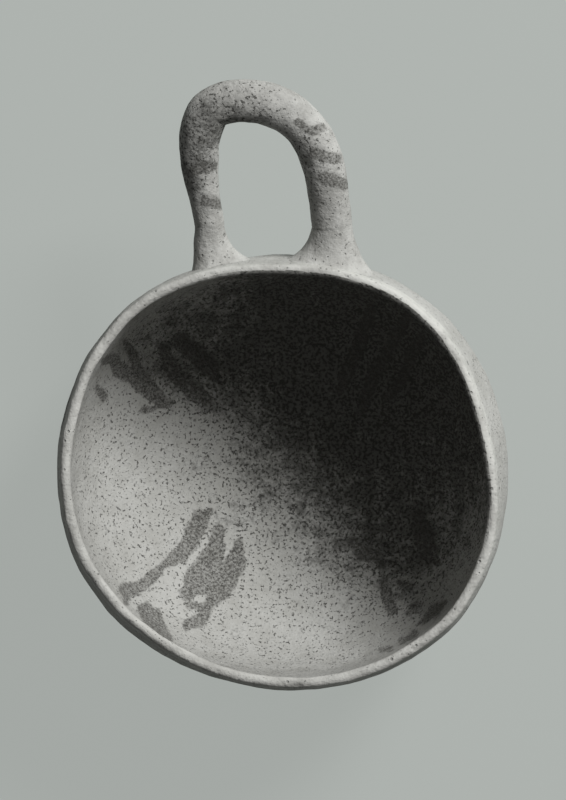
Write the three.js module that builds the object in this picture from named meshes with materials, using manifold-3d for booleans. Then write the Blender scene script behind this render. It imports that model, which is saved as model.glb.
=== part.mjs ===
// A hand-built clay bowl with one loop handle, as the potter put it together: a pierced wall,
// the last coil that makes the lip, a rolled handle whose two tenons pass through the wall,
// and a collar of luting clay pressed round each root.
// Millimetres and degrees. The mouth faces +Z, the handle reaches out along +Y, and the origin
// is the middle of the flattened base.

import * as THREE from 'three';
import { mergeVertices } from 'three/addons/utils/BufferGeometryUtils.js';
import Module from 'manifold-3d';

// Bowl
const bowlHeight = 84;
const bellyHeight = 54;
const lipRadius = 70.7;
const bellySwell = 5.4;
const bellyRadius = lipRadius + bellySwell;
const baseRadius = 25;
const wallThickness = 5;
const floorThickness = 6;
const floorFlatness = 2.2;

// Lip coil
const lipThickness = 3.3;
const lipCoilHeight = 5;

// Lobes of the hand-shaped outline: how many round the bowl, how far out, and facing where
const lipLobes = [
  { count: 2, swell: 2.0, facing: -29 },
  { count: 3, swell: 0.65, facing: -55 },
  { count: 4, swell: 0.9, facing: -43 },
  { count: 5, swell: 0.65, facing: -20 },
];
const bellyLobes = [
  { count: 2, swell: 1.6, facing: -7 },
  { count: 3, swell: 0.4, facing: -52 },
  { count: 4, swell: 0.6, facing: -46 },
];

// Handle
const rootBelowLip = 13;
const rootHeight = bowlHeight - rootBelowLip;
const rootSpacing = 41;
const handleOffset = -3.3;
const handleReach = 54.3;
const handleRise = 18;
const crownLean = -6.9;
const leftBulge = 3;
const rightDraw = 2.9;
const leftLegThickness = 10.3;
const rightLegThickness = 13.8;
const crownThickness = 14.4;
const handleFlatness = 0.93;
const tenonThickness = 7.6;

// Collars of luting clay
const collarLength = 12;
const collarEdge = 1;
const flareInLoop = 12;
const leftFlareOutside = 2.2;
const rightFlareOutside = 12;
const flareAbove = 3;
const flareBelow = 5;

// Gap left between pieces that touch
const clearance = 0.3;

// Facets
const bowlSides = 72;
const wallSteps = 12;
const rimSteps = 5;
const lipSteps = 6;
const handleSides = 16;
const handleSteps = 44;
const collarSides = 28;
const collarSteps = 7;

const wasm = await Module();
wasm.setup();

const radians = THREE.MathUtils.degToRad;

// Solids

function toSolid(geometry) {
  geometry.deleteAttribute('normal');
  geometry.deleteAttribute('uv');
  const merged = mergeVertices(geometry, 1e-4);
  const corners = [];
  for (let i = 0; i < merged.index.count; i += 3) {
    const [a, b, c] = [0, 1, 2].map((step) => merged.index.getX(i + step));
    if (a !== b && b !== c && c !== a) corners.push(a, b, c);
  }
  return new wasm.Manifold(new wasm.Mesh({
    numProp: 3,
    vertProperties: new Float32Array(merged.attributes.position.array),
    triVerts: new Uint32Array(corners),
  }));
}

function toPiece(solid, name, material) {
  const { vertProperties, triVerts } = solid.getMesh();
  const geometry = new THREE.BufferGeometry();
  geometry.setAttribute('position', new THREE.BufferAttribute(vertProperties, 3));
  geometry.setIndex(new THREE.BufferAttribute(triVerts, 1));
  geometry.computeVertexNormals();
  const piece = new THREE.Mesh(geometry, material);
  piece.name = name;
  return piece;
}

// A closed solid through rings of points, with a flat cap at each end
function loft(rings) {
  const sides = rings[0].length;
  const middle = (ring) => ring.reduce((sum, p) => sum.add(p), new THREE.Vector3())
    .divideScalar(sides);
  const points = [...rings.flat(), middle(rings[0]), middle(rings.at(-1))];
  const firstCap = points.length - 2;
  const lastCap = points.length - 1;
  const lastRing = (rings.length - 1) * sides;
  const index = [];
  for (let side = 0; side < sides; side++) {
    const next = (side + 1) % sides;
    for (let ring = 0; ring < rings.length - 1; ring++) {
      const here = ring * sides;
      const there = here + sides;
      index.push(here + side, here + next, there + next);
      index.push(here + side, there + next, there + side);
    }
    index.push(firstCap, next, side);
    index.push(lastCap, lastRing + side, lastRing + next);
  }
  const geometry = new THREE.BufferGeometry().setFromPoints(points);
  geometry.setIndex(index);
  return toSolid(geometry);
}

// The bowl's outline

const lipOutside = lipRadius + lipThickness / 2;
const lipInside = lipRadius - lipThickness / 2;
const coilBottom = bowlHeight - lipCoilHeight;

// A quarter ellipse that starts upright at the belly and passes through one more point
function reachThrough(height, share) {
  return height / Math.sqrt(1 - share ** 2);
}

function outsideRadius(z) {
  const above = reachThrough(bowlHeight - bellyHeight, lipOutside / bellyRadius);
  const below = reachThrough(bellyHeight, baseRadius / bellyRadius);
  const share = (z - bellyHeight) / (z > bellyHeight ? above : below);
  return bellyRadius * Math.sqrt(1 - share ** 2);
}

function insideRadius(z) {
  const belly = bellyRadius - wallThickness;
  if (z > bellyHeight) {
    const above = reachThrough(bowlHeight - bellyHeight, lipInside / belly);
    return belly * Math.sqrt(1 - ((z - bellyHeight) / above) ** 2);
  }
  const depth = (bellyHeight - z) / (bellyHeight - floorThickness);
  return belly * Math.max(0, 1 - depth ** floorFlatness) ** (1 / floorFlatness);
}

function swellAt(lobes, angle) {
  return lobes.reduce(
    (sum, lobe) => sum + lobe.swell * Math.cos(lobe.count * (angle - radians(lobe.facing))),
    0,
  );
}

// How far the outline stands out from a circle: lobed at lip and belly, round at the base
function outlineSwell(angle, z) {
  const towardsLip = THREE.MathUtils.smoothstep(z, bellyHeight, bowlHeight);
  const towardsBelly = THREE.MathUtils.clamp(z / bellyHeight, 0, 1);
  const belly = towardsBelly * swellAt(bellyLobes, angle);
  return THREE.MathUtils.lerp(belly, swellAt(lipLobes, angle), towardsLip);
}

// Spins a profile about the Z axis and gives it the hand-shaped outline
function spin(profile) {
  const geometry = new THREE.LatheGeometry(profile, bowlSides);
  geometry.rotateX(Math.PI / 2);
  const position = geometry.attributes.position;
  for (let i = 0; i < position.count; i++) {
    const [x, y, z] = [position.getX(i), position.getY(i), position.getZ(i)];
    const radius = Math.hypot(x, y);
    const angle = Math.atan2(y, x);
    const nearAxis = Math.min(1, radius / baseRadius);
    const grown = radius + nearAxis * outlineSwell(angle, z);
    position.setXY(i, grown * Math.cos(angle), grown * Math.sin(angle));
  }
  return toSolid(geometry);
}

// Points up one side of the wall: evenly turned round the lower bowl, evenly raised above it
function wallPoints(radiusAt, from, to) {
  const points = [];
  const lowest = Math.acos((bellyHeight - from) / bellyHeight);
  for (let step = 0; step < wallSteps; step++) {
    const turn = THREE.MathUtils.lerp(lowest, Math.PI / 2, step / wallSteps);
    const z = bellyHeight - bellyHeight * Math.cos(turn);
    points.push(new THREE.Vector2(radiusAt(z), z));
  }
  for (let step = 0; step <= rimSteps; step++) {
    const z = THREE.MathUtils.lerp(bellyHeight, to, step / rimSteps);
    points.push(new THREE.Vector2(radiusAt(z), z));
  }
  return points;
}

// Solids of all that the wall goes round, and of the space inside it, for trimming what meets them
function outsideSolid(grow) {
  const wall = wallPoints(outsideRadius, 0, bowlHeight).map((p) => p.setX(p.x + grow));
  return spin([new THREE.Vector2(0, 0), ...wall, new THREE.Vector2(0, bowlHeight)]);
}

function insideSolid() {
  const wall = wallPoints(insideRadius, floorThickness, bowlHeight);
  return spin([...wall, new THREE.Vector2(0, bowlHeight)]);
}

// The point on the outside of the wall, so far across the bowl and so high
function onWall(acrossAt, z) {
  let y = bellyRadius;
  for (let pass = 0; pass < 20; pass++) {
    const radius = outsideRadius(z) + outlineSwell(Math.atan2(y, acrossAt), z);
    y = Math.sqrt(radius ** 2 - acrossAt ** 2);
  }
  return new THREE.Vector3(acrossAt, y, z);
}

// The handle's centreline lies in a plane that rises from the wall

const out = new THREE.Vector3(0, Math.cos(radians(handleRise)), Math.sin(radians(handleRise)));
const across = new THREE.Vector3(1, 0, 0);
const facing = new THREE.Vector3().crossVectors(across, out);
const leftRoot = handleOffset - rootSpacing / 2;
const rightRoot = handleOffset + rootSpacing / 2;
const planeFoot = onWall(handleOffset, rootHeight);

function inHandlePlane(acrossAt, outAt) {
  return planeFoot.clone().setX(acrossAt).addScaledVector(out, outAt);
}

// Round the loop from the left collar's end to the right one's: how far across, how far out as
// a share of the reach, and how far the thickness has gone from the leg's to the crown's
const toCrown = handleOffset + crownLean;
const collarShare = collarLength / handleReach;
const course = [
  [leftRoot, collarShare, leftLegThickness, 0],
  [leftRoot - 0.45 * leftBulge, 0.37, leftLegThickness, 0.05],
  [leftRoot - leftBulge, 0.61, leftLegThickness, 0.6],
  [leftRoot - 0.6 * leftBulge, 0.83, crownThickness, 1],
  [leftRoot + 0.15 * (toCrown - leftRoot), 0.955, crownThickness, 1],
  [toCrown, 1, crownThickness, 1],
  [toCrown + 0.37 * (rightRoot - toCrown), 0.955, crownThickness, 1],
  [toCrown + 0.69 * (rightRoot - toCrown), 0.83, rightLegThickness, 0],
  [rightRoot - rightDraw, 0.61, rightLegThickness, 0.5],
  [rightRoot - 0.3 * rightDraw, 0.37, rightLegThickness, 0],
  [rightRoot, collarShare, rightLegThickness, 0],
];
const stations = course.map(([acrossAt, share, leg, swollen]) => ({
  at: inHandlePlane(acrossAt, share * handleReach),
  thick: THREE.MathUtils.lerp(leg, crownThickness, swollen),
}));
const centreline = new THREE.CatmullRomCurve3(stations.map((s) => s.at));
const thicknesses = new THREE.CatmullRomCurve3(
  stations.map((s) => new THREE.Vector3(s.thick, 0, 0)), false, 'catmullrom',
);

// Points round a section of the handle, square to the way it runs
function section(centre, along, halfAcross, halfDeep) {
  const side = new THREE.Vector3().crossVectors(facing, along).normalize();
  return Array.from({ length: handleSides }, (_, i) => {
    const turn = (i / handleSides) * 2 * Math.PI;
    return centre.clone()
      .addScaledVector(side, halfAcross * Math.cos(turn))
      .addScaledVector(facing, halfDeep * Math.sin(turn));
  });
}

// The rolled loop; its ends stop a gap short of the collars
function loopSolid() {
  const rings = [];
  for (let step = 0; step <= handleSteps; step++) {
    const t = step / handleSteps;
    const half = thicknesses.getPoint(t).x / 2;
    const centre = centreline.getPoint(t);
    const along = centreline.getTangent(t);
    if (t === 0 || t === 1) {
      centre.addScaledVector(out, clearance);
      along.copy(out).multiplyScalar(t === 0 ? 1 : -1);
    }
    rings.push(section(centre, along, half, half * handleFlatness));
  }
  return loft(rings);
}

// A straight peg from inside the loop's leg, through collar and wall, into the bowl
function tenonSolid(root, grow) {
  const outer = inHandlePlane(root, collarLength + tenonThickness);
  const inner = inHandlePlane(root, -4 * wallThickness);
  const inward = out.clone().negate();
  const half = tenonThickness / 2 + grow;
  return loft([outer, inner].map((centre) => section(centre, inward, half, half)));
}

// Luting clay pressed round a root: a fillet that leaves the leg along the leg, and meets the
// wall along the wall, reaching further inside the loop than outside it
function collarSolid(root, legThickness, flareLeft, flareRight) {
  const half = legThickness / 2;
  const end = inHandlePlane(root, collarLength);
  const outlines = Array.from({ length: collarSides }, (_, i) => {
    const turn = (i / collarSides) * 2 * Math.PI;
    const [right, raised] = [Math.cos(turn), Math.sin(turn)];
    const [wide, deep] = [half * right, half * handleFlatness * raised];
    const sideFlare = (right > 0 ? flareRight : flareLeft) * right;
    const heightFlare = (raised > 0 ? flareAbove : flareBelow) * raised;
    const onLeg = end.clone().addScaledVector(across, wide).addScaledVector(facing, deep);
    const corner = onWall(root + wide, rootHeight + deep);
    const foot = onWall(root + wide + sideFlare, rootHeight + deep + heightFlare);
    const outward = foot.clone().setZ(0).normalize();
    const buried = foot.clone().addScaledVector(outward, -wallThickness / 2);
    foot.addScaledVector(outward, collarEdge);
    corner.addScaledVector(outward, collarEdge);
    const fillet = new THREE.QuadraticBezierCurve3(onLeg, corner, foot);
    return [...fillet.getPoints(collarSteps), buried];
  });
  return loft(outlines[0].map((_, ring) => outlines.map((outline) => outline[ring])));
}

// Pieces

function bodySolid() {
  const top = coilBottom - clearance;
  const profile = [
    new THREE.Vector2(0, 0),
    ...wallPoints(outsideRadius, 0, top),
    ...wallPoints(insideRadius, floorThickness, top).reverse(),
  ];
  return spin(profile)
    .subtract(tenonSolid(leftRoot, clearance))
    .subtract(tenonSolid(rightRoot, clearance));
}

// The lip's section: upright sides that follow the wall, and a rounded top
function lipCoilSolid() {
  const half = lipThickness / 2;
  const roundFrom = bowlHeight - half;
  const profile = [];
  for (let step = 0; step <= 2; step++) {
    const z = THREE.MathUtils.lerp(coilBottom, roundFrom, step / 2);
    profile.push(new THREE.Vector2(outsideRadius(z), z));
  }
  const [outer, inner] = [outsideRadius(roundFrom), insideRadius(roundFrom)];
  for (let step = 1; step < lipSteps; step++) {
    const turn = (step / lipSteps) * Math.PI;
    const middle = (outer + inner) / 2;
    const x = middle + ((outer - inner) / 2) * Math.cos(turn);
    profile.push(new THREE.Vector2(x, roundFrom + half * Math.sin(turn)));
  }
  for (let step = 2; step >= 0; step--) {
    const z = THREE.MathUtils.lerp(coilBottom, roundFrom, step / 2);
    profile.push(new THREE.Vector2(insideRadius(z), z));
  }
  profile.push(profile[0].clone());
  return spin(profile);
}

function handleSolid() {
  const tenons = tenonSolid(leftRoot, 0).add(tenonSolid(rightRoot, 0));
  return loopSolid().add(tenons.subtract(insideSolid()));
}

function rootCollar(root, legThickness, flareLeft, flareRight) {
  return collarSolid(root, legThickness, flareLeft, flareRight)
    .subtract(tenonSolid(root, clearance))
    .subtract(outsideSolid(clearance));
}

// Finish: a pale, slightly rough fired clay, a touch darker where the pieces were luted
const paleClay = new THREE.MeshStandardMaterial({ color: 0xb7b3ab, roughness: 0.9, metalness: 0 });
const lipClay = new THREE.MeshStandardMaterial({ color: 0xbdb9b1, roughness: 0.85, metalness: 0 });
const handleClay = new THREE.MeshStandardMaterial({ color: 0xaeaaa2, roughness: 0.9, metalness: 0 });
const lutingClay = new THREE.MeshStandardMaterial({ color: 0xb2aea6, roughness: 0.95, metalness: 0 });

const bowl = new THREE.Group();
bowl.add(
  toPiece(bodySolid(), 'bowl_body', paleClay),
  toPiece(lipCoilSolid(), 'rim_coil', lipClay),
  toPiece(handleSolid(), 'handle', handleClay),
  toPiece(
    rootCollar(leftRoot, leftLegThickness, leftFlareOutside, flareInLoop),
    'root_collar_left',
    lutingClay,
  ),
  toPiece(
    rootCollar(rightRoot, rightLegThickness, flareInLoop, rightFlareOutside),
    'root_collar_right',
    lutingClay,
  ),
);

export default bowl;
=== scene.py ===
# %% [markdown]
# # A hand-built bowl with one loop handle
#
# The bowl is pale clay, raised by hand and pinched thinner at the lip. A rolled rod of clay was bent into a
# loop and set through the wall, and wet clay was smeared round both roots. Dark matt paint, now worn, runs
# down the inside in four groups of wavy strokes, and crosses the handle as bars.
#
# Hand-made clay is never quite round, so each piece here starts as a clean form with the measured outline of
# the real one and is then roughened a little, as fingers leave it.

# %% Load the frame
import math

import bpy
import numpy as np
from mathutils import Matrix, Vector, noise


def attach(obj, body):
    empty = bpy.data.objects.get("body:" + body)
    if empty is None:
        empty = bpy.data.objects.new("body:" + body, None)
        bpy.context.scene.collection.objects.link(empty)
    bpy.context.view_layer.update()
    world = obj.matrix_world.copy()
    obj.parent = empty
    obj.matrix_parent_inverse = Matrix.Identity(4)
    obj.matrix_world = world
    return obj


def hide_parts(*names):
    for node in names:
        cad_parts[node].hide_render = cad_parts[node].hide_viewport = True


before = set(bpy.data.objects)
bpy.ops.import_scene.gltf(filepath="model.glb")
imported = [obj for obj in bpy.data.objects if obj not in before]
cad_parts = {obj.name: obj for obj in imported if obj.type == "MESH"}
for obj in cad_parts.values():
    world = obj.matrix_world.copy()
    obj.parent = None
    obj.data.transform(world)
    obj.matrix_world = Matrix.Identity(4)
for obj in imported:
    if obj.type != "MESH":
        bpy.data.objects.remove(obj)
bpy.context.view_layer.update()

MM = 0.001

# %% [markdown]
# ## The camera
#
# The photograph looks almost straight down the axis of the bowl from about a metre away, with the handle
# upwards in the picture. A long lens keeps the near lip and the deep floor at nearly the same scale. The
# camera is built first, because the paint is laid out as it is seen from there.

# %% Camera
EYE = Vector((55.0, 44.0, 1184.0))
AIM = Vector((1.233, 25.0, 84.0))
LENS = 148.7
SENSOR = 36.0


def facing_matrix(place, aim, up):
    """A turn and a place for something that looks from place towards aim along its own -Z."""
    back = (place - aim).normalized()
    right = up.cross(back).normalized()
    turn = Matrix((right, back.cross(right), back)).transposed()
    return Matrix.Translation(place * MM) @ turn.to_4x4()


camera_data = bpy.data.cameras.new("camera")
camera_data.lens = LENS
camera_data.sensor_width = SENSOR
camera = bpy.data.objects.new("camera", camera_data)
bpy.context.scene.collection.objects.link(camera)
camera.matrix_world = facing_matrix(EYE, AIM, Vector((0, 1, 0)))
bpy.context.scene.camera = camera
print("camera at", tuple(round(value, 3) for value in camera.location), "m")

# %% [markdown]
# ## The outline of the bowl
#
# A thrown bowl would be a plain body of revolution. This one was raised by hand, so its outline swells and
# draws in as it goes round. The section comes first: an ellipse outside, a flatter curve inside, and a lip
# that is thinner than the wall. Cosine lobes then add the crookedness, one set at the belly and one at the
# lip, and blend from one to the other with height.

# %% Section and lobes, in millimetres and degrees
BOWL_HEIGHT = 84.0
BELLY_RADIUS = 76.1
BELLY_HEIGHT = 54.0
LIP_RADIUS = 70.7
LIP_THICKNESS = 3.3
BASE_RADIUS = 25.0
WALL = 5.0
FLOOR = 6.0
FLOOR_FLATNESS = 2.2
SEAM_HEIGHT = 79.0
LIP_OUTSIDE = LIP_RADIUS + LIP_THICKNESS / 2
LIP_INSIDE = LIP_RADIUS - LIP_THICKNESS / 2
# Lobes as (how many go round, size, direction of the first)
LIP_LOBES = ((2, 2.0, -29), (3, 0.65, -55), (4, 0.9, -43), (5, 0.65, -20))
BELLY_LOBES = ((2, 1.6, -7), (3, 0.4, -52), (4, 0.6, -46))


def reach_through(height, share):
    """How far an ellipse reaches up or down when it passes through a share of its width at a height."""
    return height / math.sqrt(1 - share ** 2)


ABOVE_OUTSIDE = reach_through(BOWL_HEIGHT - BELLY_HEIGHT, LIP_OUTSIDE / BELLY_RADIUS)
ABOVE_INSIDE = reach_through(BOWL_HEIGHT - BELLY_HEIGHT, LIP_INSIDE / (BELLY_RADIUS - WALL))
BELOW_OUTSIDE = reach_through(BELLY_HEIGHT, BASE_RADIUS / BELLY_RADIUS)


def outside_radius(z):
    reach = np.where(z > BELLY_HEIGHT, ABOVE_OUTSIDE, BELOW_OUTSIDE)
    return BELLY_RADIUS * np.sqrt(1 - ((z - BELLY_HEIGHT) / reach) ** 2)


def inside_radius(z):
    belly = BELLY_RADIUS - WALL
    rising = belly * np.sqrt(np.clip(1 - ((z - BELLY_HEIGHT) / ABOVE_INSIDE) ** 2, 0, 1))
    depth = np.clip((BELLY_HEIGHT - z) / (BELLY_HEIGHT - FLOOR), 0, 1)
    falling = belly * (1 - depth ** FLOOR_FLATNESS) ** (1 / FLOOR_FLATNESS)
    return np.where(z > BELLY_HEIGHT, rising, falling)


def swell(lobes, angle):
    return sum(size * np.cos(count * (angle - math.radians(turn))) for count, size, turn in lobes)


def outline_swell(angle, z):
    """How far the crooked outline stands out from the true circle, at an angle and a height."""
    climb = np.clip((z - BELLY_HEIGHT) / (BOWL_HEIGHT - BELLY_HEIGHT), 0, 1)
    climb = climb * climb * (3 - 2 * climb)
    belly = np.clip(z / BELLY_HEIGHT, 0, 1) * swell(BELLY_LOBES, angle)
    return belly * (1 - climb) + swell(LIP_LOBES, angle) * climb


lip_radii = LIP_OUTSIDE + swell(LIP_LOBES, np.linspace(0, 2 * math.pi, 90))
print("lip radius from", round(float(lip_radii.min()), 1), "to", round(float(lip_radii.max()), 1), "mm")

# %% [markdown]
# ## Helpers for modelling
#
# Every piece starts in one of two ways. Either a section is drawn by extruding a single vertex from point to
# point and is then spun about the axis, or a flat grid is rolled up into a tube. Both are closed up alike:
# doubled vertices are merged along the seam, open ends are filled and the normals are turned outwards. After
# that the vertices are moved a little by smooth noise, which takes the machine-made look away.

# %% Helpers for making a piece
SMOOTH_ANGLE = math.radians(50)
MERGE_DISTANCE = 0.002 * MM


def deselect_all():
    if bpy.context.object and bpy.context.object.mode != "OBJECT":
        bpy.ops.object.mode_set(mode="OBJECT")
    bpy.ops.object.select_all(action="DESELECT")


def close_up():
    """Merge the seam, close what is open and turn the faces outwards, on the piece in edit mode."""
    bpy.ops.mesh.select_all(action="SELECT")
    bpy.ops.mesh.remove_doubles(threshold=MERGE_DISTANCE)
    bpy.ops.mesh.fill_holes(sides=0)
    bpy.ops.mesh.select_all(action="SELECT")
    bpy.ops.mesh.normals_make_consistent(inside=False)
    bpy.ops.object.mode_set(mode="OBJECT")


def spun(name, section, steps):
    """Draw a section of (radius, height) points in millimetres and spin it about the bowl's axis."""
    deselect_all()
    bpy.ops.mesh.primitive_plane_add(size=MM, location=(0, 0, 0))
    piece = bpy.context.object
    piece.name = name
    bpy.ops.object.mode_set(mode="EDIT")
    bpy.ops.mesh.merge(type="CENTER")
    here = Vector((section[0][0] * MM, 0, section[0][1] * MM))
    bpy.ops.transform.translate(value=here)
    for radius, height in section[1:]:
        there = Vector((radius * MM, 0, height * MM))
        bpy.ops.mesh.extrude_region_move(TRANSFORM_OT_translate={"value": there - here})
        here = there
    bpy.ops.mesh.select_all(action="SELECT")
    bpy.ops.mesh.spin(steps=steps, angle=2 * math.pi, center=(0, 0, 0), axis=(0, 0, 1))
    close_up()
    return piece


def rolled(name, sides, steps, shape):
    """Roll a flat grid into a tube: shape gives a place in millimetres from shares round and along it."""
    deselect_all()
    bpy.ops.mesh.primitive_grid_add(x_subdivisions=sides, y_subdivisions=steps, size=1.0)
    piece = bpy.context.object
    piece.name = name
    for vertex in piece.data.vertices:
        vertex.co = shape(vertex.co.x + 0.5, vertex.co.y + 0.5) * MM
    bpy.ops.object.mode_set(mode="EDIT")
    close_up()
    return piece


def finish(piece, node):
    """Smooth the piece, hang it on the root body and hide the solid it stands for."""
    deselect_all()
    piece.select_set(True)
    bpy.context.view_layer.objects.active = piece
    bpy.ops.object.shade_smooth_by_angle(angle=SMOOTH_ANGLE)
    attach(piece, "root")
    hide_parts(node)
    low, high = places(piece).min(axis=0), places(piece).max(axis=0)
    print(piece.name, len(piece.data.polygons), "faces, mm", low.round(1), "to", high.round(1))


# %% Helpers for moving the vertices of a piece
SHIFT_BY_SEED = (1.0, 3.1, -1.7)


def places(piece):
    """The vertices of a piece, in millimetres, one row each."""
    flat = np.empty(3 * len(piece.data.vertices))
    piece.data.vertices.foreach_get("co", flat)
    return flat.reshape(-1, 3) / MM


def put_places(piece, rows):
    piece.data.vertices.foreach_set("co", (rows * MM).ravel())
    piece.data.update()


def facings(piece):
    """The normal at each vertex of a piece, one row each."""
    flat = np.empty(3 * len(piece.data.vertices))
    piece.data.vertex_normals.foreach_get("vector", flat)
    return flat.reshape(-1, 3)


def bumps(rows, spacing, seed):
    """Smooth noise between about -1 and 1 at each place, with humps about spacing millimetres apart."""
    shift = Vector([share * seed for share in SHIFT_BY_SEED])
    return np.array([noise.noise(Vector(row) / spacing + shift) for row in rows])


def layered(rows, *layers):
    """Bumps of several sizes added up, each layer as (strength, spacing, seed)."""
    return sum(strength * bumps(rows, spacing, seed) for strength, spacing, seed in layers)


# %% [markdown]
# ## Wall and lip
#
# The wall was raised from coils and scraped, and a last thin coil was pinched on as the lip. Its joint still
# shows as a shallow crease inside, and as a pitted line outside where the smearing missed it. The sections
# of the two pieces follow the same curves and end at the joint, and both pieces get the same lobes and the
# same unevenness, so that they meet exactly.

# %% Draw the sections
SPIN_STEPS = 400
BASE_STEPS = 14
LOWER_STEPS = 62
UPPER_STEPS = 24
LIP_SIDE_STEPS = 6
LIP_ROUND_STEPS = 16


def outside_points(top):
    """From the edge of the base up the outside of the wall."""
    turns = np.linspace(0, math.pi / 2, LOWER_STEPS)
    lower = BELLY_HEIGHT - BELLY_HEIGHT * np.cos(turns)
    upper = np.linspace(BELLY_HEIGHT, top, UPPER_STEPS)[1:]
    heights = np.concatenate([lower, upper])
    return list(zip(outside_radius(heights), heights))


def inside_points(top):
    """From the middle of the floor up the inside of the wall."""
    turns = np.linspace(0, math.pi / 2, LOWER_STEPS)
    power = 2 / FLOOR_FLATNESS
    radii = (BELLY_RADIUS - WALL) * np.sin(turns) ** power
    lower = BELLY_HEIGHT - (BELLY_HEIGHT - FLOOR) * np.abs(np.cos(turns)) ** power
    upper = np.linspace(BELLY_HEIGHT, top, UPPER_STEPS)[1:]
    return list(zip(radii, lower)) + list(zip(inside_radius(upper), upper))


def wall_section():
    base = [(radius, 0.0) for radius in np.linspace(0, BASE_RADIUS, BASE_STEPS)[:-1]]
    return base + outside_points(SEAM_HEIGHT) + inside_points(SEAM_HEIGHT)[::-1]


def lip_section():
    half = LIP_THICKNESS / 2
    shoulder = BOWL_HEIGHT - half
    heights = np.linspace(SEAM_HEIGHT, shoulder, LIP_SIDE_STEPS)
    outer = outside_radius(heights)
    inner = inside_radius(heights)
    middle = (outer[-1] + inner[-1]) / 2
    across = (outer[-1] - inner[-1]) / 2
    turns = np.linspace(0, math.pi, LIP_ROUND_STEPS)[1:-1]
    crest = [(middle + across * math.cos(turn), shoulder + half * math.sin(turn)) for turn in turns]
    ring = list(zip(outer, heights)) + crest + list(zip(inner, heights))[::-1]
    return ring + [((outer[0] + inner[0]) / 2, SEAM_HEIGHT), ring[0]]


print("points in the sections of wall and lip:", len(wall_section()), len(lip_section()))

# %% Make a spun piece crooked, in millimetres and radians
# Bumps as (strength, spacing, seed)
UNEVEN_WALL = ((0.42, 17.0, 2), (0.2, 6.5, 5), (0.09, 2.6, 9))
MIDDLE_HEIGHT = 46.0
EVEN_BELOW = 3.0
FLOOR_SLACK = 0.01
CREASE_WIDTH = 0.8
CREASE_INSIDE = 0.3
CREASE_OUTSIDE = 0.25
CREASE_USUAL = 0.55
CREASE_PATCHES = (0.9, 14.0, 12)
CREASE_LIMITS = (0.1, 1.3)
# Where the smearing missed the joint outside, at lower right as the camera sees it
MISSED_DEPTH = 0.45
MISSED_TURN = -0.8
MISSED_SPREAD = 0.7
WEAR_STARTS = 1.0
WEAR_GROWS_OVER = 4.0
LIP_WEAR = 0.5
WEAR_USUAL = 0.5
WEAR_PATCHES = (0.8, 9.0, 17)
NICKS = (1.0, 4.0, 21)
NICKS_ABOVE = 0.35
NICK_DEPTH = 1.6


def crease(rows, angle, inside):
    """How far the joint's crease moves the skin towards the axis, which is below zero on the inside."""
    near_joint = np.exp(-((rows[:, 2] - SEAM_HEIGHT) / CREASE_WIDTH) ** 2)
    patchy = np.clip(CREASE_USUAL + layered(rows, CREASE_PATCHES), *CREASE_LIMITS)
    missed = np.exp(-((angle - MISSED_TURN) / MISSED_SPREAD) ** 2)
    pressed_outside = CREASE_OUTSIDE * patchy + MISSED_DEPTH * missed
    return near_joint * np.where(inside, -CREASE_INSIDE * patchy, pressed_outside)


def lip_wear(rows):
    """How much of the lip's height has worn off or chipped away."""
    near_top = np.clip((rows[:, 2] - SEAM_HEIGHT - WEAR_STARTS) / WEAR_GROWS_OVER, 0, 1)
    chipped = np.clip(layered(rows, NICKS) - NICKS_ABOVE, 0, 1) * NICK_DEPTH
    return near_top * (LIP_WEAR * (WEAR_USUAL + layered(rows, WEAR_PATCHES)) + chipped)


def make_crooked(piece):
    """Give a spun piece its lobes, its hand-made unevenness, the crease at the joint and a worn lip."""
    rows = places(piece)
    radius = np.hypot(rows[:, 0], rows[:, 1])
    angle = np.arctan2(rows[:, 1], rows[:, 0])
    z = rows[:, 2]
    inside = (radius < (outside_radius(z) + inside_radius(z)) / 2) & (z > FLOOR - FLOOR_SLACK)
    grown = radius + np.minimum(1, radius / BASE_RADIUS) * outline_swell(angle, z)
    out = np.stack([np.cos(angle), np.sin(angle), np.zeros_like(angle)], axis=1)
    new_rows = np.column_stack([grown * out[:, 0], grown * out[:, 1], z])
    from_middle = rows - np.array([0, 0, MIDDLE_HEIGHT])
    from_middle /= np.linalg.norm(from_middle, axis=1)[:, None]
    uneven = layered(rows, *UNEVEN_WALL) * np.clip(z / EVEN_BELOW, 0, 1)
    new_rows += from_middle * uneven[:, None] - out * crease(rows, angle, inside)[:, None]
    new_rows[:, 2] -= lip_wear(rows)
    put_places(piece, new_rows)


# %% Spin the wall and the lip
bowl_wall = spun("bowl_wall", wall_section(), SPIN_STEPS)
lip = spun("lip", lip_section(), SPIN_STEPS)
for spun_piece in (bowl_wall, lip):
    make_crooked(spun_piece)
    print(spun_piece.name, "spun with", len(spun_piece.data.vertices), "vertices")

# %% [markdown]
# ## The loop handle
#
# The handle is one rod of clay, rolled on a board and bent while wet. It is thickest over the crown, thinner
# down the left leg, and leans to the left. A swept curve would do, but a grid rolled round a line of chosen
# stations lets the rod swell, flatten and sink into its roots as the real one does.

# %% Lay out the handle's course
ROOT_HEIGHT = 71.0
ROOT_SPACING = 41.0
HANDLE_OFFSET = -3.3
HANDLE_REACH = 54.3
HANDLE_RISE = 18.0
CROWN_LEAN = -6.9
LEFT_BULGE = 3.0
RIGHT_DRAW = 2.9
LEFT_LEG = 10.3
RIGHT_LEG = 13.8
CROWN = 14.4
HANDLE_FLATNESS = 0.93
COLLAR_LENGTH = 12.0
SETTLING_ROUNDS = 20
LEFT_ROOT = HANDLE_OFFSET - ROOT_SPACING / 2
RIGHT_ROOT = HANDLE_OFFSET + ROOT_SPACING / 2
ACROSS = Vector((1, 0, 0))
OUT = Vector((0, math.cos(math.radians(HANDLE_RISE)), math.sin(math.radians(HANDLE_RISE))))
UPWARD = ACROSS.cross(OUT)


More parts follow.
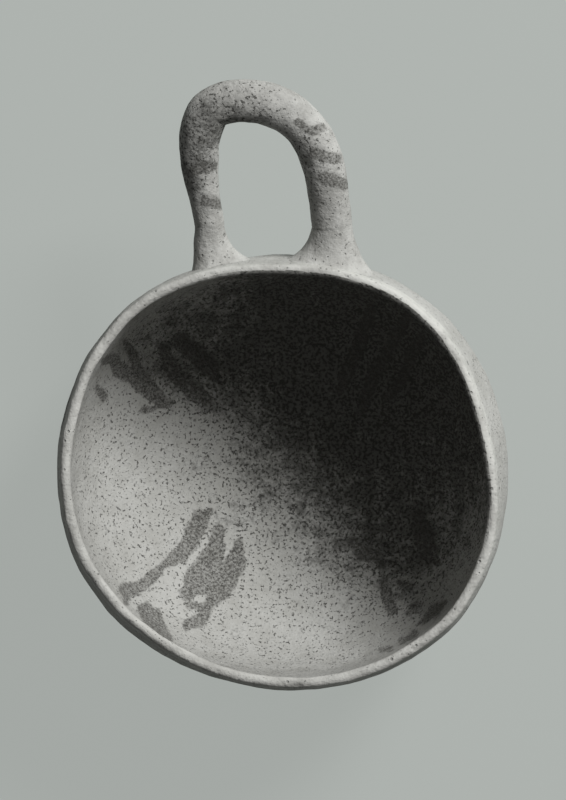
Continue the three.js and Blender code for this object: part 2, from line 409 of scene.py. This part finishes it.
def on_wall(across, z):
    """The point of the outer wall at a distance from the middle plane and a height, on the handle's side."""
    y = BELLY_RADIUS
    for _ in range(SETTLING_ROUNDS):
        radius = float(outside_radius(z)) + float(outline_swell(math.atan2(y, across), z))
        y = math.sqrt(radius ** 2 - across ** 2)
    return Vector((across, y, z))


PLANE_FOOT = on_wall(HANDLE_OFFSET, ROOT_HEIGHT)


def in_handle_plane(across, out):
    return Vector((across, PLANE_FOOT.y, PLANE_FOOT.z)) + OUT * out


TO_CROWN = HANDLE_OFFSET + CROWN_LEAN
COLLAR_SHARE = COLLAR_LENGTH / HANDLE_REACH
# Stations as (place across, share of the reach, thickness of the leg, how far it nears the crown's)
COURSE = (
    (LEFT_ROOT, COLLAR_SHARE, LEFT_LEG, 0),
    (LEFT_ROOT - 0.45 * LEFT_BULGE, 0.37, LEFT_LEG, 0.05),
    (LEFT_ROOT - LEFT_BULGE, 0.61, LEFT_LEG, 0.6),
    (LEFT_ROOT - 0.6 * LEFT_BULGE, 0.83, CROWN, 1),
    (LEFT_ROOT + 0.15 * (TO_CROWN - LEFT_ROOT), 0.955, CROWN, 1),
    (TO_CROWN, 1, CROWN, 1),
    (TO_CROWN + 0.37 * (RIGHT_ROOT - TO_CROWN), 0.955, CROWN, 1),
    (TO_CROWN + 0.69 * (RIGHT_ROOT - TO_CROWN), 0.83, RIGHT_LEG, 0),
    (RIGHT_ROOT - RIGHT_DRAW, 0.61, RIGHT_LEG, 0.5),
    (RIGHT_ROOT - 0.3 * RIGHT_DRAW, 0.37, RIGHT_LEG, 0),
    (RIGHT_ROOT, COLLAR_SHARE, RIGHT_LEG, 0),
)
STATIONS = [in_handle_plane(across, share * HANDLE_REACH) for across, share, _, _ in COURSE]
THICKNESSES = [Vector((leg + (CROWN - leg) * swollen, 0, 0)) for _, _, leg, swollen in COURSE]
print("the handle passes", len(STATIONS), "stations up to a height of",
      round(max(station.z for station in STATIONS), 1), "mm")

# %% Give the handle its skin
HANDLE_SIDES = 72
HANDLE_STEPS = 260
BY_DISTANCE = 0.5
EVENLY = 0
TINY = 1e-6
LOOK_AHEAD = 0.002
SUNK_SHARE = 0.06
SHORT_OF_WALL = 1.0
SUNK_TAPER = 0.07
TAPER_WITHIN = 0.25


def along_curve(points, share, power):
    """A smooth curve through points, where power says how far the spacing of the points counts."""
    last = len(points) - 1
    index = min(int(share * last), last - 1)
    weight = share * last - index
    start, end = points[index], points[index + 1]
    before = points[index - 1] if index > 0 else start * 2 - end
    after = points[index + 2] if index + 2 <= last else end * 2 - start
    stops = (before, start, end, after)
    steps = [there - here for here, there in zip(stops, stops[1:])]
    gaps = [max(step.length, TINY) ** power for step in steps]
    leaving = (steps[0] / gaps[0] - (end - before) / (gaps[0] + gaps[1]) + steps[1] / gaps[1]) * gaps[1]
    arriving = (steps[1] / gaps[1] - (after - start) / (gaps[1] + gaps[2]) + steps[2] / gaps[2]) * gaps[1]
    cubic = (start - end) * 2 + leaving + arriving
    square = (end - start) * 3 - leaving * 2 - arriving
    return start + leaving * weight + square * weight ** 2 + cubic * weight ** 3


def handle_shape(around, along):
    """The rod's skin: along runs from the left root to the right one, and both ends sink to the wall."""
    share = min(max((along - SUNK_SHARE) / (1 - 2 * SUNK_SHARE), 0), 1)
    sunk = max(SUNK_SHARE - along, along - (1 - SUNK_SHARE), 0) / SUNK_SHARE
    centre = along_curve(STATIONS, share, BY_DISTANCE)
    behind = along_curve(STATIONS, max(share - LOOK_AHEAD, 0), BY_DISTANCE)
    ahead = along_curve(STATIONS, min(share + LOOK_AHEAD, 1), BY_DISTANCE)
    half = along_curve(THICKNESSES, share, EVENLY).x / 2
    forward = (ahead - behind).normalized()
    if sunk > 0:
        forward = OUT.copy() if along < 0.5 else -OUT
        centre = centre - OUT * (sunk * (COLLAR_LENGTH - SHORT_OF_WALL))
        half = half * (1 - SUNK_TAPER * min(1, sunk / TAPER_WITHIN))
    side = UPWARD.cross(forward).normalized()
    turn = 2 * math.pi * around
    return centre + side * (half * math.cos(turn)) + UPWARD * (half * HANDLE_FLATNESS * math.sin(turn))


handle_loop = rolled("handle_loop", HANDLE_SIDES, HANDLE_STEPS, handle_shape)
print(handle_loop.name, "rolled with", len(handle_loop.data.vertices), "vertices")

# %% Ease, roughen and dent the handle, in millimetres
INNER_BEND = (-17.0, 114.5, 84.0)
UNEVEN_HANDLE = ((0.3, 13.0, 31), (0.2, 5.0, 37), (0.08, 2.2, 41))
NICK = (9.3, 103.5, 86.0)
CHIP = (-18.5, 128.0, 94.0)


def ease(piece, middle, reach, passes):
    """Smooth the vertices round a point, as a wet thumb would."""
    near = np.linalg.norm(places(piece) - np.array(middle), axis=1) < reach
    deselect_all()
    piece.select_set(True)
    bpy.context.view_layer.objects.active = piece
    bpy.ops.object.mode_set(mode="EDIT")
    bpy.ops.mesh.select_all(action="DESELECT")
    bpy.ops.object.mode_set(mode="OBJECT")
    piece.data.vertices.foreach_set("select", near)
    bpy.ops.object.mode_set(mode="EDIT")
    bpy.ops.mesh.select_mode(type="VERT")
    bpy.ops.mesh.vertices_smooth(factor=0.5, repeat=passes)
    bpy.ops.object.mode_set(mode="OBJECT")
    print("eased", int(near.sum()), "vertices of", piece.name)


def roughen(piece, layers):
    """Push the skin in and out along its own facing, as fingers and grit leave it."""
    rows = places(piece)
    put_places(piece, rows + facings(piece) * layered(rows, *layers)[:, None])


def dent(piece, middle, width, depth):
    """Press a small hollow into the skin round a point."""
    rows = places(piece)
    away = np.linalg.norm(rows - np.array(middle), axis=1)
    hollow = depth * np.exp(-(away / width) ** 2)
    put_places(piece, rows - facings(piece) * hollow[:, None])


ease(handle_loop, INNER_BEND, reach=8.0, passes=60)
roughen(handle_loop, UNEVEN_HANDLE)
dent(handle_loop, NICK, width=1.6, depth=0.9)
dent(handle_loop, CHIP, width=1.2, depth=0.7)

# %% [markdown]
# ## The clay round the roots
#
# Where a leg meets the wall the potter pressed a roll of soft clay round it and smeared it out with a
# finger, further along the wall on the right. Each collar is a fillet: every line of it starts along the
# leg, turns at the wall and runs out thin over it. A bevel between leg and wall would be even all round, so
# the lines are drawn one by one instead, and their ends dip just under both surfaces, where no edge shows.

# %% Collars
COLLAR_SIDES = 96
COLLAR_STEPS = 28
UNEVEN_COLLAR = ((0.35, 13.0, 31), (0.3, 5.0, 37), (0.1, 2.2, 41))
FLARE_IN_LOOP = 12.0
LEFT_FLARE_OUTSIDE = 2.2
RIGHT_FLARE_OUTSIDE = 12.0
FLARE_ABOVE = 3.0
FLARE_BELOW = 5.0
FURTHER_UP_LEG = 1.5
UNDER_SKIN = 0.97
CORNER_FILL = 1.3
SMEAR_RISE = 0.35
SMEAR_QUICKENED = 1.15
SMEAR_DIP = 1.2


def collar_shape(root, leg, flare_left, flare_right):
    """The skin of one collar: along runs from the leg, through the corner, to the thin edge on the wall."""
    half = leg / 2
    top = in_handle_plane(root, COLLAR_LENGTH + FURTHER_UP_LEG)

    def shape(around, along):
        turn = 2 * math.pi * around
        right, raised = math.cos(turn), math.sin(turn)
        wide, deep = half * right, half * HANDLE_FLATNESS * raised
        side_flare = (flare_right if right > 0 else flare_left) * right
        height_flare = (FLARE_ABOVE if raised > 0 else FLARE_BELOW) * raised
        start = top + ACROSS * (wide * UNDER_SKIN) + UPWARD * (deep * UNDER_SKIN)
        corner = on_wall(root + wide, ROOT_HEIGHT + deep)
        foot = on_wall(root + wide + side_flare, ROOT_HEIGHT + deep + height_flare)
        outward = Vector((foot.x, foot.y, 0)).normalized()
        corner = corner + outward * CORNER_FILL
        foot = foot - outward * SMEAR_DIP
        fillet = start * (1 - along) ** 2 + corner * (2 * along * (1 - along)) + foot * along ** 2
        risen = SMEAR_RISE * math.sin(math.pi * min(1, along * SMEAR_QUICKENED)) ** 2
        return fillet + outward * risen

    return shape


collar_left = rolled("collar_left", COLLAR_SIDES, COLLAR_STEPS,
                     collar_shape(LEFT_ROOT, LEFT_LEG, LEFT_FLARE_OUTSIDE, FLARE_IN_LOOP))
collar_right = rolled("collar_right", COLLAR_SIDES, COLLAR_STEPS,
                      collar_shape(RIGHT_ROOT, RIGHT_LEG, FLARE_IN_LOOP, RIGHT_FLARE_OUTSIDE))
for collar in (collar_left, collar_right):
    roughen(collar, UNEVEN_COLLAR)
    print(collar.name, "has", len(collar.data.polygons), "faces")

# %% [markdown]
# ## The painted ornament
#
# The paint was brushed on before firing: short wavy strokes that hang from the lip towards the floor in four
# groups, and bars across the handle. Each stroke here is a line of points, each with its own half width,
# placed in millimetres as seen through the mouth. Each vertex keeps how deep it lies inside the nearest
# stroke, as an attribute, and the material turns that into an edge that noise makes ragged. An image would
# do the same, but the attribute travels with the mesh and stays sharp.

# %% Strokes, as (x, y, half width) points, millimetres in the plane of the lip
LOWER_LEFT = (
    ((-23.5, -12.2, 1.2), (-26.5, -14.5, 3.2), (-29.5, -22, 3.0), (-33, -26.5, 3.1), (-38, -30, 1.5)),
    ((-38, -30, 1.5), (-42.5, -34, 2.3), (-46.5, -38, 2.1), (-51.5, -38.6, 2.6), (-51, -42, 1.4)),
    ((-20.2, -18.6, 2.2), (-21.2, -24.5, 3.2), (-23.6, -30.5, 4.8), (-26.5, -35, 5.6), (-31, -39.5, 2.6)),
    ((-13.4, -22.8, 1.7), (-14.2, -28.5, 3.4), (-17.5, -33.5, 4.6), (-20.5, -38.5, 4.4), (-23, -42.5, 2.5)),
    ((-30.5, -43.6, 1.2), (-24, -44.5, 2.3), (-25.8, -48, 2.4), (-30, -50, 2.4)),
    ((-45, -45.2, 2.6), (-42.5, -48, 3.6), (-39, -52.5, 2.0), (-36.3, -55, 1.0)),
)
UPPER_LEFT = (
    ((-58.5, 38, 1.6), (-55.5, 38.5, 2.4), (-53.5, 34.5, 2.6), (-48, 32.5, 3.4), (-43, 28, 3.2),
     (-40, 25, 2.6)),
    ((-51.5, 44.5, 1.0), (-49, 41, 1.9), (-47.8, 35, 1.6)),
    ((-38.5, 42, 2.2), (-36.8, 37, 2.6), (-33.5, 32.5, 2.8), (-28, 27.5, 3.6), (-24.5, 25.5, 2.2)),
    ((-33, 44.5, 3.2), (-28, 40.5, 3.8), (-23.5, 36, 3.4), (-21.5, 32.5, 2.0)),
    ((-60.5, 28.6, 1.4), (-59, 26.2, 1.8)),
    ((-46.5, 21, 1.0), (-41.5, 22.5, 1.5), (-36, 24.5, 1.2)),
)
LOWER_RIGHT = (
    ((24.5, -22, 2.0), (28, -26, 2.6), (32.5, -27.5, 2.4), (35, -30.5, 1.2)),
    ((34.6, -33.5, 1.3), (35.6, -39, 2.4), (37.5, -44.5, 2.4)),
    ((47, -13.5, 2.6), (48.2, -20, 3.4), (50.5, -26.5, 3.4), (53.5, -29.6, 1.2)),
    ((40, -35.5, 1.0), (43.5, -37, 1.8), (41.8, -39, 0.8)),
    ((42.8, -46, 1.0), (45.5, -43.8, 1.7)),
    ((47.5, -49, 1.2), (52, -45, 2.0), (55, -42.5, 1.2)),
    ((41, -55.5, 1.1), (45, -53, 1.6)),
    ((33.5, -58.6, 0.9), (37, -57.8, 1.1)),
)
UPPER_RIGHT = (
    ((30.9, 56, 1.8), (28.6, 50, 2.3), (26.6, 43, 2.3), (23.5, 36, 2.2), (20.4, 28.5, 1.9)),
    ((42.2, 52.5, 1.8), (39.2, 47, 2.3), (36.2, 41, 2.2), (31.5, 33.5, 2.3), (27.2, 21.5, 1.8)),
    ((47.5, 46, 1.8), (44, 40, 2.2), (41.5, 32.5, 2.1), (36, 25.5, 1.8)),
)
OUTSIDE_DASHES = (
    ((-66.6, 32.5, 1.6), (-67, 30.5, 1.6)),
    ((-67.8, 29, 1.6), (-68.6, 26, 1.6)),
    ((-69.6, 24.5, 1.8), (-70.9, 19.5, 1.8)),
    ((-71.6, 17.5, 1.6), (-72.3, 14.8, 1.6)),
)
OUTSIDE_BAND = (60.0, 77.0)
HANDLE_BARS = (
    ((-28.5, 101.5, 2.2), (-22.5, 103, 2.2)),
    ((-24.6, 91.5, 2.0), (-20.3, 90, 2.0)),
    ((6, 117.2, 1.6), (10.8, 114.6, 1.8), (14.5, 115.6, 1.4)),
    ((10.5, 107.2, 1.8), (15, 106, 2.2), (19.5, 105, 2.0)),
    ((14, 99, 2.0), (17.6, 98, 2.6), (21, 97, 2.2)),
)
INSIDE_GROUPS = LOWER_LEFT + UPPER_LEFT + LOWER_RIGHT + UPPER_RIGHT
print(len(INSIDE_GROUPS), "strokes inside,", len(OUTSIDE_DASHES), "outside and", len(HANDLE_BARS), "bars")

# %% Painted shade: spots of darker clay where shade falls, as (x, y, reach, strength), in the plane of the lip
PAINTED_SHADE = (
    # Painted shade inside: strongest at the upper right, where the near wall shades the inside, and weaker
    # over the middle
    (47, 33, 80, 0.95),
    (8, 54, 50, 0.75),
    (8, 8, 52, 0.2),
    (36, -24, 32, 0.45),
    (-32, 42, 28, 0.5),
    (0, 0, 120, 0.3),
)
# Painted shade on the handle: its left side and the inner side of the right leg, which face away from the
# lamp
PAINTED_SHADE_HANDLE = (
    (-27, 112, 20, 0.6),
    (-14, 121, 18, 0.55),
    (-32, 98, 14, 0.5),
    (8, 108, 13, 0.5),
    (9, 92, 10, 0.4),
)
print(len(PAINTED_SHADE), "dark patches in the bowl and", len(PAINTED_SHADE_HANDLE), "on the handle")

# %% Keep paint and painted shade on the vertices
# The depth that is kept where no stroke is near
UNPAINTED = -8.0
EDGE_SOFTNESS = 1.5
UNEVEN_SLACK = 0.5
PAINT_FACES_UP = -0.25


def through_mouth(rows):
    """Where each place is seen, from the camera, in the plane of the lip."""
    share = (EYE.z - BOWL_HEIGHT) / (EYE.z - rows[:, 2])
    eye = np.array(EYE[:2])
    return eye + (rows[:, :2] - eye) * share[:, None]


def depth_in_strokes(seen, strokes):
    """How far inside the nearest stroke each point lies, in millimetres, negative outside."""
    deepest = np.full(len(seen), UNPAINTED)
    for points in strokes:
        for (start_x, start_y, start_half), (end_x, end_y, end_half) in zip(points, points[1:]):
            start = np.array((start_x, start_y))
            run = np.array((end_x - start_x, end_y - start_y))
            share = np.clip(((seen - start) @ run) / (run @ run), 0, 1)
            gap = np.linalg.norm(seen - start - share[:, None] * run, axis=1)
            deepest = np.maximum(deepest, start_half + (end_half - start_half) * share - gap)
    return deepest


def keep_on_vertices(piece, name, values):
    piece.data.attributes.new(name, "FLOAT", "POINT").data.foreach_set("value", values)


def paint_shade(piece, spots, where=True):
    """Store how much shade is painted on each vertex, from 0 to 1."""
    seen = through_mouth(places(piece))
    share = np.zeros(len(seen))
    for x, y, reach, strength in spots:
        gap = np.hypot(seen[:, 0] - x, seen[:, 1] - y) / reach
        share = 1 - (1 - share) * (1 - strength * np.clip(1 - gap ** 2, 0, 1) ** EDGE_SOFTNESS)
    keep_on_vertices(piece, "painted_shade", np.where(where, share, 0.0))


def paint(piece, jobs):
    """Store the depth of the paint on the vertices: jobs are pairs of strokes and where they may lie."""
    seen = through_mouth(places(piece))
    deepest = np.full(len(seen), UNPAINTED)
    for strokes, where in jobs:
        deepest = np.maximum(deepest, np.where(where, depth_in_strokes(seen, strokes), UNPAINTED))
    keep_on_vertices(piece, "paint", deepest)
    print(piece.name, "painted on", int((deepest > 0).sum()), "vertices")


def is_inside(piece):
    """Which vertices of a spun piece, crooked as it now is, lie on the inside of the bowl."""
    rows = places(piece)
    radius = np.hypot(rows[:, 0], rows[:, 1])
    angle = np.arctan2(rows[:, 1], rows[:, 0])
    z = np.clip(rows[:, 2], 0, BOWL_HEIGHT)
    middle = (outside_radius(z) + inside_radius(z)) / 2 + outline_swell(angle, z)
    return (radius < middle) & (z > FLOOR - UNEVEN_SLACK)


for spun_piece in (bowl_wall, lip):
    height = places(spun_piece)[:, 2]
    inner = is_inside(spun_piece)
    outer_band = ~inner & (height > OUTSIDE_BAND[0]) & (height < OUTSIDE_BAND[1])
    paint(spun_piece, ((INSIDE_GROUPS, inner & (height < SEAM_HEIGHT)), (OUTSIDE_DASHES, outer_band)))
    # Painted shade on the inside of the bowl
    paint_shade(spun_piece, PAINTED_SHADE, inner)
for limb in (handle_loop, collar_left, collar_right):
    paint(limb, ((HANDLE_BARS, facings(limb)[:, 2] > PAINT_FACES_UP),))
    # Painted shade on the handle and its collars
    paint_shade(limb, PAINTED_SHADE_HANDLE)

# %% [markdown]
# ## Materials
#
# Low-fired clay is matt and never one tone. It clouds over a few centimetres, is streaked where it was wiped
# and carries dark grit and burst pits. The paint is a little darker and just as dull, and has flaked off in
# points. Shade is also painted in: darker patches, and more dark specks, where the inside and the handle
# fall in shade. Everything but the paint and the painted shade is built from noise on object coordinates,
# so the pattern runs on from wall to lip to handle as if the bowl were one body. The pieces share one
# recipe, with a tone of their own.

# %% A short way to write shaders
# Sockets of a Mix node in colour mode
MIX_FIRST = 6
MIX_SECOND = 7
MIX_RESULT = 2


class Shader:
    """Adds nodes to a new material. Each call but add returns an output that the next call can take."""

    def __init__(self, name):
        self.material = bpy.data.materials.new(name)
        self.material.use_nodes = True
        self.tree = self.material.node_tree
        self.tree.nodes.clear()

    def add(self, kind, inputs=None, **settings):
        made = self.tree.nodes.new(kind)
        for key, value in settings.items():
            setattr(made, key, value)
        for key, value in (inputs or {}).items():
            if isinstance(value, bpy.types.NodeSocket):
                self.tree.links.new(value, made.inputs[key])
            else:
                made.inputs[key].default_value = value
        return made

    def noise(self, vector, scale, detail, roughness):
        inputs = {"Vector": vector, "Scale": scale, "Detail": detail, "Roughness": roughness}
        return self.add("ShaderNodeTexNoise", inputs).outputs["Fac"]

    def math(self, operation, first, second=0.0):
        return self.add("ShaderNodeMath", {0: first, 1: second}, operation=operation).outputs[0]

    def weighted(self, *pairs):
        """The sum of several values, each times its weight."""
        total = self.math("MULTIPLY", *pairs[0])
        for value, weight in pairs[1:]:
            total = self.math("ADD", total, self.math("MULTIPLY", value, weight))
        return total

    def between(self, value, low, high, to_low=0.0, to_high=1.0):
        inputs = {"Value": value, "From Min": low, "From Max": high, "To Min": to_low, "To Max": to_high}
        return self.add("ShaderNodeMapRange", inputs, interpolation_type="SMOOTHSTEP").outputs["Result"]

    def blend(self, share, first, second):
        inputs = {0: share, MIX_FIRST: first, MIX_SECOND: second}
        return self.add("ShaderNodeMix", inputs, data_type="RGBA").outputs[MIX_RESULT]


# %% Clay: what it is made of
PAINT_TONE = (0.088, 0.086, 0.078, 1.0)
GRIT_TONE = (0.05, 0.049, 0.043, 1.0)
# The dark colour painted in where shade falls
SHADE_TONE = (0.085, 0.084, 0.076, 1.0)
SPECULAR = 0.25
# Noise as (scale, detail, roughness), with the scale in humps per metre
CLOUDS = (42.0, 3.0, 0.55)
MOTTLE = (165.0, 5.0, 0.62)
GRAIN = (820.0, 3.0, 0.6)
STREAKS = (520.0, 4.0, 0.6)
GRIT = (980.0, 3.0, 0.6)
PIT_PATCHES = (95.0, 2.0, 0.55)
BRUSH_EDGE = (290.0, 5.0, 0.65)
FLAKES = (1250.0, 4.0, 0.7)
PIT_SCALE = 330.0
# Soft steps as (from, to), or as (from, to, result at the first, result at the second)
TONE_STEP = (0.42, 0.68)
GRAIN_STEP = (0.3, 0.72, 0.0, 0.35)
# The step that turns the painted shade into darker patches
SHADE_STEP = (0.78, 1.12, 0.0, 0.85)
PIT_SIZE_STEP = (0.42, 0.66, 0.08, 0.24)
PIT_STEP = (0.0, 0.6)
PAINT_STEP = (-0.4, 0.7)
DULLNESS_STEP = (0.3, 0.7, 0.78, 0.95)
# How much each thing counts
CLOUDS_AND_MOTTLE = 0.9
STREAK_SHARE = 0.22
# Painted shade: how mottle, grain and the stored shade make the darker patches
MOTTLE_IN_SHADE = 0.75
GRAIN_IN_SHADE = 0.45
PAINTED_SHADE_WEIGHT = 0.62
GRIT_ABOVE = 0.665
# More dark specks where shade is painted
GRIT_BY_SHADE = 0.14
GRIT_SOFTNESS = 0.07
GRIT_STRENGTH = 0.85
PIT_STRENGTH = 0.4
RAGGEDNESS = 4.2
FLAKE_SOFTNESS = 0.2
PAINT_LEFT_LEAST = 0.42
PAINT_LEFT_MOST = 0.95
MOTTLE_RELIEF = 0.9
GRAIN_RELIEF = 0.6
STREAK_RELIEF = 0.35
PIT_RELIEF = -0.6
BUMP_STRENGTH = 0.85
BUMP_DISTANCE = 0.0007
# For the streaks, in metres: the least radius, and how wide a turn round the bowl counts
LEAST_RADIUS = 0.004
TURN_WIDTH = 0.013
LEVEL_BY_RADIUS = 0.5

# %% Clay: its streaks, grit, pits and paint
def wiped_round(nodes, place):
    """Coordinates squeezed round the bowl, so that noise on them runs out in streaks, as a hand wipes."""
    parts = nodes.add("ShaderNodeSeparateXYZ", {0: place})
    x, y, z = (parts.outputs[axis] for axis in "XYZ")
    squares = nodes.math("ADD", nodes.math("MULTIPLY", x, x), nodes.math("MULTIPLY", y, y))
    radius = nodes.math("MAXIMUM", nodes.math("SQRT", squares), LEAST_RADIUS)
    turn_x = nodes.math("MULTIPLY", nodes.math("DIVIDE", x, radius), TURN_WIDTH)
    turn_y = nodes.math("MULTIPLY", nodes.math("DIVIDE", y, radius), TURN_WIDTH)
    level = nodes.math("ADD", z, nodes.math("MULTIPLY", radius, LEVEL_BY_RADIUS))
    return nodes.add("ShaderNodeCombineXYZ", {0: turn_x, 1: turn_y, 2: level}).outputs[0]


def grit_shown(nodes, place, shade_share, speckled):
    """Dark specks, with more of them painted where shade falls."""
    edge = nodes.math("SUBTRACT", GRIT_ABOVE - speckled, nodes.math("MULTIPLY", shade_share, GRIT_BY_SHADE))
    full = nodes.math("ADD", edge, GRIT_SOFTNESS)
    return nodes.between(nodes.noise(place, *GRIT), edge, full, 0.0, GRIT_STRENGTH)


def pits_shown(nodes, place):
    """Small round pits, larger in some patches than in others."""
    size = nodes.between(nodes.noise(place, *PIT_PATCHES), *PIT_SIZE_STEP)
    cells = nodes.add("ShaderNodeTexVoronoi", {"Vector": place, "Scale": PIT_SCALE, "Randomness": 1.0})
    pits = nodes.math("SUBTRACT", 1.0, nodes.math("DIVIDE", cells.outputs["Distance"], size))
    return nodes.between(pits, *PIT_STEP)


def paint_shown(nodes, place, worn):
    """How much of the paint covers the clay: a ragged edge round each stroke, and flakes missing."""
    depth = nodes.add("ShaderNodeAttribute", attribute_name="paint").outputs["Fac"]
    ragged = nodes.math("SUBTRACT", nodes.noise(place, *BRUSH_EDGE), 0.5)
    ragged = nodes.math("MULTIPLY", ragged, RAGGEDNESS)
    painted = nodes.between(nodes.math("ADD", depth, ragged), *PAINT_STEP)
    flakes = nodes.noise(place, *FLAKES)
    left = nodes.between(flakes, worn, worn + FLAKE_SOFTNESS, PAINT_LEFT_LEAST, PAINT_LEFT_MOST)
    return nodes.math("MULTIPLY", painted, left)


# %% Clay: the whole recipe
def fired_clay(name, pale, deep, cloud=0.5, worn=0.4, speckled=0.0):
    """Matt fired clay: cloud weighs broad tones against mottle, worn sheds paint, speckled adds grit."""
    nodes = Shader(name)
    place = nodes.add("ShaderNodeTexCoord").outputs["Object"]
    # The shade painted on the vertices
    shade_share = nodes.add("ShaderNodeAttribute", attribute_name="painted_shade").outputs["Fac"]
    clouds = nodes.noise(place, *CLOUDS)
    mottle = nodes.noise(place, *MOTTLE)
    grain = nodes.noise(place, *GRAIN)
    streaks = nodes.noise(wiped_round(nodes, place), *STREAKS)
    grit = grit_shown(nodes, place, shade_share, speckled)
    pits = pits_shown(nodes, place)

    tone = nodes.weighted((clouds, cloud), (mottle, CLOUDS_AND_MOTTLE - cloud), (streaks, STREAK_SHARE))
    base = nodes.blend(nodes.between(tone, *TONE_STEP), deep, pale)
    base = nodes.blend(nodes.between(grain, *GRAIN_STEP), base, pale)
    # Painted shade: the clay is darkened where shade falls, broken up by mottle and grain
    patches = nodes.weighted((mottle, MOTTLE_IN_SHADE), (grain, GRAIN_IN_SHADE), (shade_share, PAINTED_SHADE_WEIGHT))
    base = nodes.blend(nodes.between(patches, *SHADE_STEP), base, SHADE_TONE)
    specks = nodes.math("MAXIMUM", grit, nodes.math("MULTIPLY", pits, PIT_STRENGTH))
    base = nodes.blend(specks, base, GRIT_TONE)
    colour = nodes.blend(paint_shown(nodes, place, worn), base, PAINT_TONE)

    hollows = nodes.math("MAXIMUM", pits, grit)
    height = nodes.weighted((mottle, MOTTLE_RELIEF), (grain, GRAIN_RELIEF), (streaks, STREAK_RELIEF),
                            (hollows, PIT_RELIEF))
    inputs = {"Height": height, "Strength": BUMP_STRENGTH, "Distance": BUMP_DISTANCE}
    bump = nodes.add("ShaderNodeBump", inputs).outputs["Normal"]
    skin = nodes.add("ShaderNodeBsdfPrincipled", {
        "Base Color": colour,
        "Roughness": nodes.between(grain, *DULLNESS_STEP),
        "Normal": bump,
        "Specular IOR Level": SPECULAR,
    })
    nodes.add("ShaderNodeOutputMaterial", {"Surface": skin.outputs[0]})
    return nodes.material


# %% Clay: one finish for each kind of piece
PALE = (0.45, 0.45, 0.428, 1.0)
DEEP = (0.36, 0.358, 0.335, 1.0)
HANDLE_PALE = (0.46, 0.46, 0.437, 1.0)
HANDLE_DEEP = (0.30, 0.298, 0.28, 1.0)
LIP_PALE = (0.54, 0.54, 0.51, 1.0)

wall_clay = fired_clay("scraped_wall_clay", PALE, DEEP, speckled=0.045)
lip_clay = fired_clay("rubbed_lip_clay", LIP_PALE, DEEP, worn=0.5)
handle_clay = fired_clay("rolled_handle_clay", HANDLE_PALE, HANDLE_DEEP, cloud=0.4, speckled=0.03)
smeared_clay = fired_clay("smeared_root_clay", HANDLE_PALE, HANDLE_DEEP, cloud=0.4, speckled=0.02)
FINISHES = (
    (bowl_wall, wall_clay),
    (lip, lip_clay),
    (handle_loop, handle_clay),
    (collar_left, smeared_clay),
    (collar_right, smeared_clay),
)
for piece, clay in FINISHES:
    piece.data.materials.clear()
    piece.data.materials.append(clay)
    print(piece.name, "is finished in", clay.name)

# %% Put the pieces in the frame
finish(bowl_wall, "bowl_body")
finish(lip, "rim_coil")
finish(handle_loop, "handle")
finish(collar_left, "root_collar_left")
finish(collar_right, "root_collar_right")

# %% [markdown]
# ## Floor, light and background
#
# The bowl stands on a pale floor that fills the picture, so the floor's colour is the background. One large
# lamp lights it from the upper right, well off the camera's axis, so the near wall throws a soft shadow
# across the inside, which is what shows how deep it is. A weak even sky keeps the shadow from going black.

# %% Floor
BACKGROUND = (0.434, 0.462, 0.440, 1.0)
FLOOR_SIZE = 8.0
SHADOW_SHARE = 0.16

deselect_all()
bpy.ops.mesh.primitive_plane_add(size=FLOOR_SIZE, location=(0, 0, 0))
studio_floor = bpy.context.object
studio_floor.name = "studio_floor"
nodes = Shader("studio_floor_paper")
rays = nodes.add("ShaderNodeLightPath").outputs
seen_ray = nodes.math("MAXIMUM", rays["Is Camera Ray"], rays["Is Glossy Ray"])
seen_ray = nodes.math("MAXIMUM", seen_ray, rays["Is Transmission Ray"])
paper = nodes.add("ShaderNodeBsdfDiffuse", {"Color": BACKGROUND}).outputs[0]
plain = nodes.add("ShaderNodeEmission", {"Color": BACKGROUND, "Strength": 1.0}).outputs[0]
share = nodes.math("MULTIPLY", seen_ray, 1 - SHADOW_SHARE)
mixed = nodes.add("ShaderNodeMixShader", {0: share, 1: paper, 2: plain}).outputs[0]
nodes.add("ShaderNodeOutputMaterial", {"Surface": mixed})
studio_floor.data.materials.append(nodes.material)

# %% Lamp and sky
LAMP_DISTANCE = 1500.0
LAMP_OFF_AXIS = 48.6
LAMP_TURN = 48.6
LAMP_SIZE = 0.46
LAMP_POWER = 26.0
SKY_LIGHT = 0.08

off_axis, turn = math.radians(LAMP_OFF_AXIS), math.radians(LAMP_TURN)
towards_lamp = Vector((math.sin(off_axis) * math.cos(turn), math.sin(off_axis) * math.sin(turn),
                       math.cos(off_axis)))
bowl_middle = Vector((0, 0, BOWL_HEIGHT / 2))
lamp_data = bpy.data.lights.new("key_lamp", "AREA")
lamp_data.size = LAMP_SIZE
lamp_data.energy = LAMP_POWER
key_lamp = bpy.data.objects.new("key_lamp", lamp_data)
bpy.context.scene.collection.objects.link(key_lamp)
key_lamp.matrix_world = facing_matrix(bowl_middle + towards_lamp * LAMP_DISTANCE, bowl_middle,
                                      Vector((0, 1, 0)))

world = bpy.data.worlds.new("studio")
world.use_nodes = True
bpy.context.scene.world = world
sky = world.node_tree
sky.nodes.clear()
path = sky.nodes.new("ShaderNodeLightPath")
dim = sky.nodes.new("ShaderNodeBackground")
dim.inputs["Color"].default_value = (1.0, 1.0, 1.0, 1.0)
dim.inputs["Strength"].default_value = SKY_LIGHT
shown = sky.nodes.new("ShaderNodeBackground")
shown.inputs["Color"].default_value = BACKGROUND
choose = sky.nodes.new("ShaderNodeMixShader")
end = sky.nodes.new("ShaderNodeOutputWorld")
sky.links.new(path.outputs["Is Camera Ray"], choose.inputs[0])
sky.links.new(dim.outputs[0], choose.inputs[1])
sky.links.new(shown.outputs[0], choose.inputs[2])
sky.links.new(choose.outputs[0], end.inputs[0])
bpy.context.scene.view_settings.view_transform = "Standard"
print("lamp", LAMP_POWER, "W at", LAMP_DISTANCE, "mm, sky", SKY_LIGHT)
